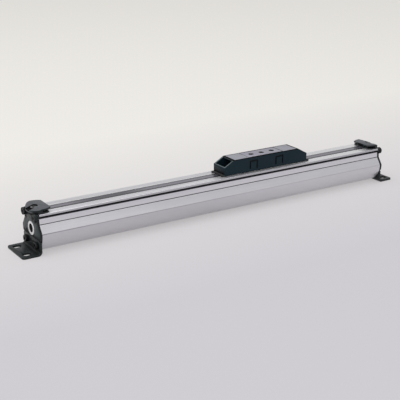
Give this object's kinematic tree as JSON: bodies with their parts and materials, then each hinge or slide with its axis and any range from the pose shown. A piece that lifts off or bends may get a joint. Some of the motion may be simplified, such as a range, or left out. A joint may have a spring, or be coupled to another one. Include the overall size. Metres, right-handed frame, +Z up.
{
  "type": "rodless pneumatic cylinder",
  "caption": "Band-sealed rodless pneumatic cylinder: slotted aluminium barrel on L feet, end caps with air ports, and a sliding carriage with tapped fixing holes.",
  "frame": {"origin": "mid-length of the barrel, on the plane that the feet stand on", "axes": "+X along the barrel and the carriage's travel, +Y across it, +Z up from the feet to the carriage's top face"},
  "size_m": [0.5488, 0.0486, 0.0664],
  "materials": {
    "anodised_aluminium": "satin, extruded, clear anodised",
    "band_steel": "fine lengthwise brushing",
    "inner_band_steel": "satin",
    "cap_black": "satin black powder coat",
    "black_screws": "black oxide",
    "seal_rubber": "matt",
    "port_metal": "bright turned",
    "yoke_aluminium": "satin machined",
    "piston_plastic": "moulded",
    "wear_plastic": "moulded",
    "magnet_grey": "sintered",
    "spear_aluminium": "turned",
    "cover_plastic": "moulded, slightly satin",
    "top_plate_grey": "moulded, satin"
  },
  "bodies": {
    "frame": {"barrel": "anodised_aluminium", "outer_band": "band_steel", "inner_band": "inner_band_steel", "end_cap_left": "cap_black", "end_cap_right": "cap_black", "cap_screws_left": "black_screws", "cap_screws_right": "black_screws", "cap_seal_left": "seal_rubber", "cap_seal_right": "seal_rubber", "cushion_seal_left": "seal_rubber", "cushion_seal_right": "seal_rubber", "bumper_left": "seal_rubber", "bumper_right": "seal_rubber", "port_ring_left": "port_metal", "port_ring_right": "port_metal", "cushion_needle_left": "black_screws", "cushion_needle_right": "black_screws", "foot_left": "cap_black", "foot_right": "cap_black", "foot_screws_left": "black_screws", "foot_screws_right": "black_screws", "band_clamp_left": "cap_black", "band_clamp_right": "cap_black", "clamp_screw_left": "black_screws", "clamp_screw_right": "black_screws", "lug_screws_left": "black_screws", "lug_screws_right": "black_screws"},
    "carriage": {"yoke": "yoke_aluminium", "piston_left": "piston_plastic", "piston_right": "piston_plastic", "piston_seal_left": "seal_rubber", "piston_seal_right": "seal_rubber", "wear_ring_left": "wear_plastic", "wear_ring_right": "wear_plastic", "magnet_left": "magnet_grey", "magnet_right": "magnet_grey", "cushion_spear_left": "spear_aluminium", "cushion_spear_right": "spear_aluminium", "piston_bolt_left": "black_screws", "piston_bolt_right": "black_screws", "carriage_cover": "cover_plastic", "top_plate_left": "top_plate_grey", "top_plate_right": "top_plate_grey", "band_ramp_left": "wear_plastic", "band_ramp_right": "wear_plastic", "wiper_left": "seal_rubber", "wiper_right": "seal_rubber", "wiper_holder_left": "cover_plastic", "wiper_holder_right": "cover_plastic", "slide_strip_near": "wear_plastic", "slide_strip_far": "wear_plastic"}
  },
  "joints": [
    {"name": "carriage_slide", "type": "slide", "parent": "frame", "child": "carriage", "axis": [1, 0, 0], "range_m": [-0.2157, 0.0843], "deforming": ["outer_band", "inner_band"]}
  ]
}
